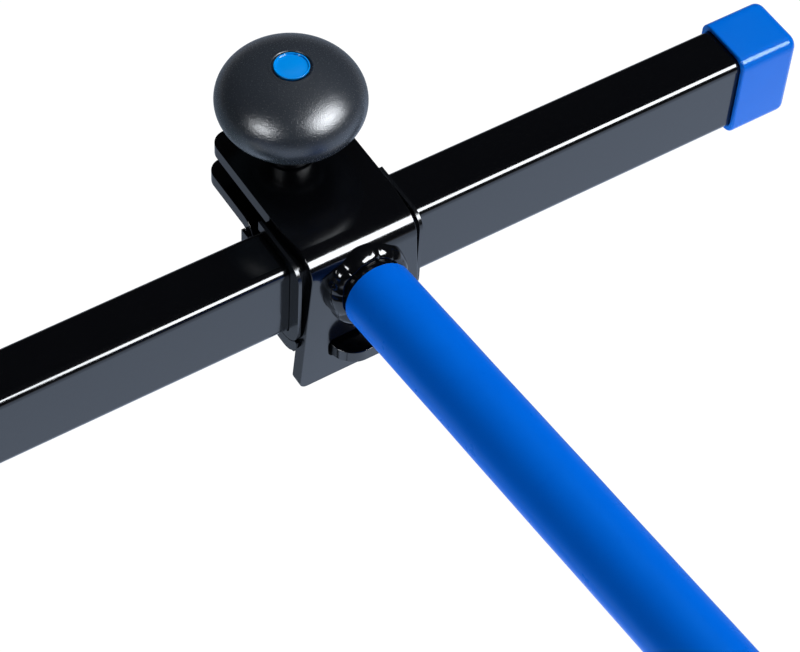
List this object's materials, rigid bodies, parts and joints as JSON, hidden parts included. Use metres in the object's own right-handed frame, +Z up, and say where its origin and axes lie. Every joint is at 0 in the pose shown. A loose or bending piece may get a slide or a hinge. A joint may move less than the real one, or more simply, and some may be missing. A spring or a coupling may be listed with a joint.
{
  "type": "bike repair stand",
  "caption": "Floor-standing repair stand: a tripod with a telescoping mast carries a horizontal beam with sliding knob-clamped support arms in soft sleeves.",
  "frame": {"origin": "on the floor, on the mast's axis, at the centre of the hub's rubber pad", "axes": "+X along the beam, +Y to the rear, +Z up; the support arms point to the front, -Y"},
  "size_m": [0.8936, 0.9294, 1.0372],
  "materials": {
    "frame_paint": "gloss black powder coat",
    "clamp_paint": "gloss black paint over bent plate",
    "liner_plastic": "satin moulded plastic",
    "knob_plastic": "fine textured satin black",
    "blue_vinyl": "dipped vinyl, satin to gloss",
    "zinc_steel": "bright zinc plate",
    "brass_tip": "turned",
    "foot_rubber": "moulded"
  },
  "bodies": {
    "base": {"hub_lower_plate": "frame_paint", "hub_upper_plate": "frame_paint", "hub_pad": "foot_rubber", "mast_outer_tube": "frame_paint", "mast_weld": "frame_paint", "mast_bush": "liner_plastic", "height_boss": "frame_paint", "rear_leg": "frame_paint", "rear_leg_plug": "liner_plastic", "rear_foot": "foot_rubber", "pivot_bolts": "zinc_steel", "pivot_nuts": "zinc_steel", "rear_leg_bolts": "zinc_steel", "rear_leg_nuts": "zinc_steel"},
    "mast_upper": {"mast_inner_tube": "frame_paint", "mast_slider": "liner_plastic", "saddle": "frame_paint", "saddle_weld": "frame_paint", "saddle_bolts": "zinc_steel", "saddle_nuts": "zinc_steel", "beam": "frame_paint", "beam_cap_right": "blue_vinyl", "beam_cap_left": "blue_vinyl"},
    "height_screw": {"height_tip": "brass_tip"},
    "height_knob": {"height_stud": "zinc_steel", "height_knob": "knob_plastic", "height_knob_insert": "zinc_steel"},
    "leg_right": {"front_leg_right": "frame_paint", "pivot_sleeve_right": "zinc_steel", "front_leg_plug_right": "liner_plastic", "front_foot_right": "foot_rubber"},
    "arm_right": {"collar_plate_right": "clamp_paint", "front_pad_right": "liner_plastic", "arm_tube_right": "clamp_paint", "arm_weld_right": "clamp_paint", "arm_sleeve_right": "blue_vinyl", "knob_washer_right": "zinc_steel"},
    "jaw_right": {"clamp_jaw_right": "clamp_paint", "rear_pad_right": "liner_plastic"},
    "stud_right": {"clamp_stud_right": "zinc_steel", "stud_washer_right": "zinc_steel"},
    "knob_right": {"knob_right": "knob_plastic", "knob_insert_right": "zinc_steel"},
    "leg_left": {"front_leg_left": "frame_paint", "pivot_sleeve_left": "zinc_steel", "front_leg_plug_left": "liner_plastic", "front_foot_left": "foot_rubber"},
    "arm_left": {"collar_plate_left": "clamp_paint", "front_pad_left": "liner_plastic", "arm_tube_left": "clamp_paint", "arm_weld_left": "clamp_paint", "arm_sleeve_left": "blue_vinyl", "knob_washer_left": "zinc_steel"},
    "jaw_left": {"clamp_jaw_left": "clamp_paint", "rear_pad_left": "liner_plastic"},
    "stud_left": {"clamp_stud_left": "zinc_steel", "stud_washer_left": "zinc_steel"},
    "knob_left": {"knob_left": "knob_plastic", "knob_insert_left": "zinc_steel"}
  },
  "joints": [
    {"name": "height_slide", "type": "slide", "parent": "base", "child": "mast_upper", "axis": [0, 0, 1], "range_m": [-0.24, 0.12]},
    {"name": "height_screw_travel", "type": "slide", "parent": "base", "child": "height_screw", "axis": [0, 1, 0], "range_m": [0, 0.00525]},
    {"name": "height_knob_turn", "type": "hinge", "parent": "height_screw", "child": "height_knob", "pos_m": [0, 0.05, 0.585], "axis": [0, 1, 0], "range_deg": [0, 1080]},
    {"name": "leg_fold_right", "type": "hinge", "parent": "base", "child": "leg_right", "pos_m": [0.044, -0.022, 0.035], "axis": [0, 0, -1], "range_deg": [0, 35]},
    {"name": "arm_slide_right", "type": "slide", "parent": "mast_upper", "child": "arm_right", "axis": [1, 0, 0], "range_m": [-0.145, 0.155]},
    {"name": "knob_turn_right", "type": "hinge", "parent": "arm_right", "child": "knob_right", "pos_m": [0.225, 0.036, 1.01], "axis": [0, 0, 1], "range_deg": [0, 1080]},
    {"name": "stud_drop_right", "type": "slide", "parent": "arm_right", "child": "stud_right", "axis": [0, 0, -1], "range_m": [0, 0.00375]},
    {"name": "jaw_open_right", "type": "hinge", "parent": "arm_right", "child": "jaw_right", "pos_m": [0.225, -0.0188, 0.9307], "axis": [-1, 0, 0], "range_deg": [0, 2.7]},
    {"name": "leg_fold_left", "type": "hinge", "parent": "base", "child": "leg_left", "pos_m": [-0.044, -0.022, 0.035], "axis": [0, 0, 1], "range_deg": [0, 35]},
    {"name": "arm_slide_left", "type": "slide", "parent": "mast_upper", "child": "arm_left", "axis": [-1, 0, 0], "range_m": [-0.145, 0.155]},
    {"name": "knob_turn_left", "type": "hinge", "parent": "arm_left", "child": "knob_left", "pos_m": [-0.225, 0.036, 1.01], "axis": [0, 0, 1], "range_deg": [0, 1080]},
    {"name": "stud_drop_left", "type": "slide", "parent": "arm_left", "child": "stud_left", "axis": [0, 0, -1], "range_m": [0, 0.00375]},
    {"name": "jaw_open_left", "type": "hinge", "parent": "arm_left", "child": "jaw_left", "pos_m": [-0.225, -0.0188, 0.9307], "axis": [-1, 0, 0], "range_deg": [0, 2.7]}
  ],
  "couplings": [
    {"joint": "height_screw_travel", "follows": "height_knob_turn", "m_per_rad": 0.00027852},
    {"joint": "stud_drop_right", "follows": "knob_turn_right", "m_per_rad": 0.00019894},
    {"joint": "jaw_open_right", "follows": "knob_turn_right", "ratio": 0.0025},
    {"joint": "stud_drop_left", "follows": "knob_turn_left", "m_per_rad": 0.00019894},
    {"joint": "jaw_open_left", "follows": "knob_turn_left", "ratio": 0.0025}
  ]
}
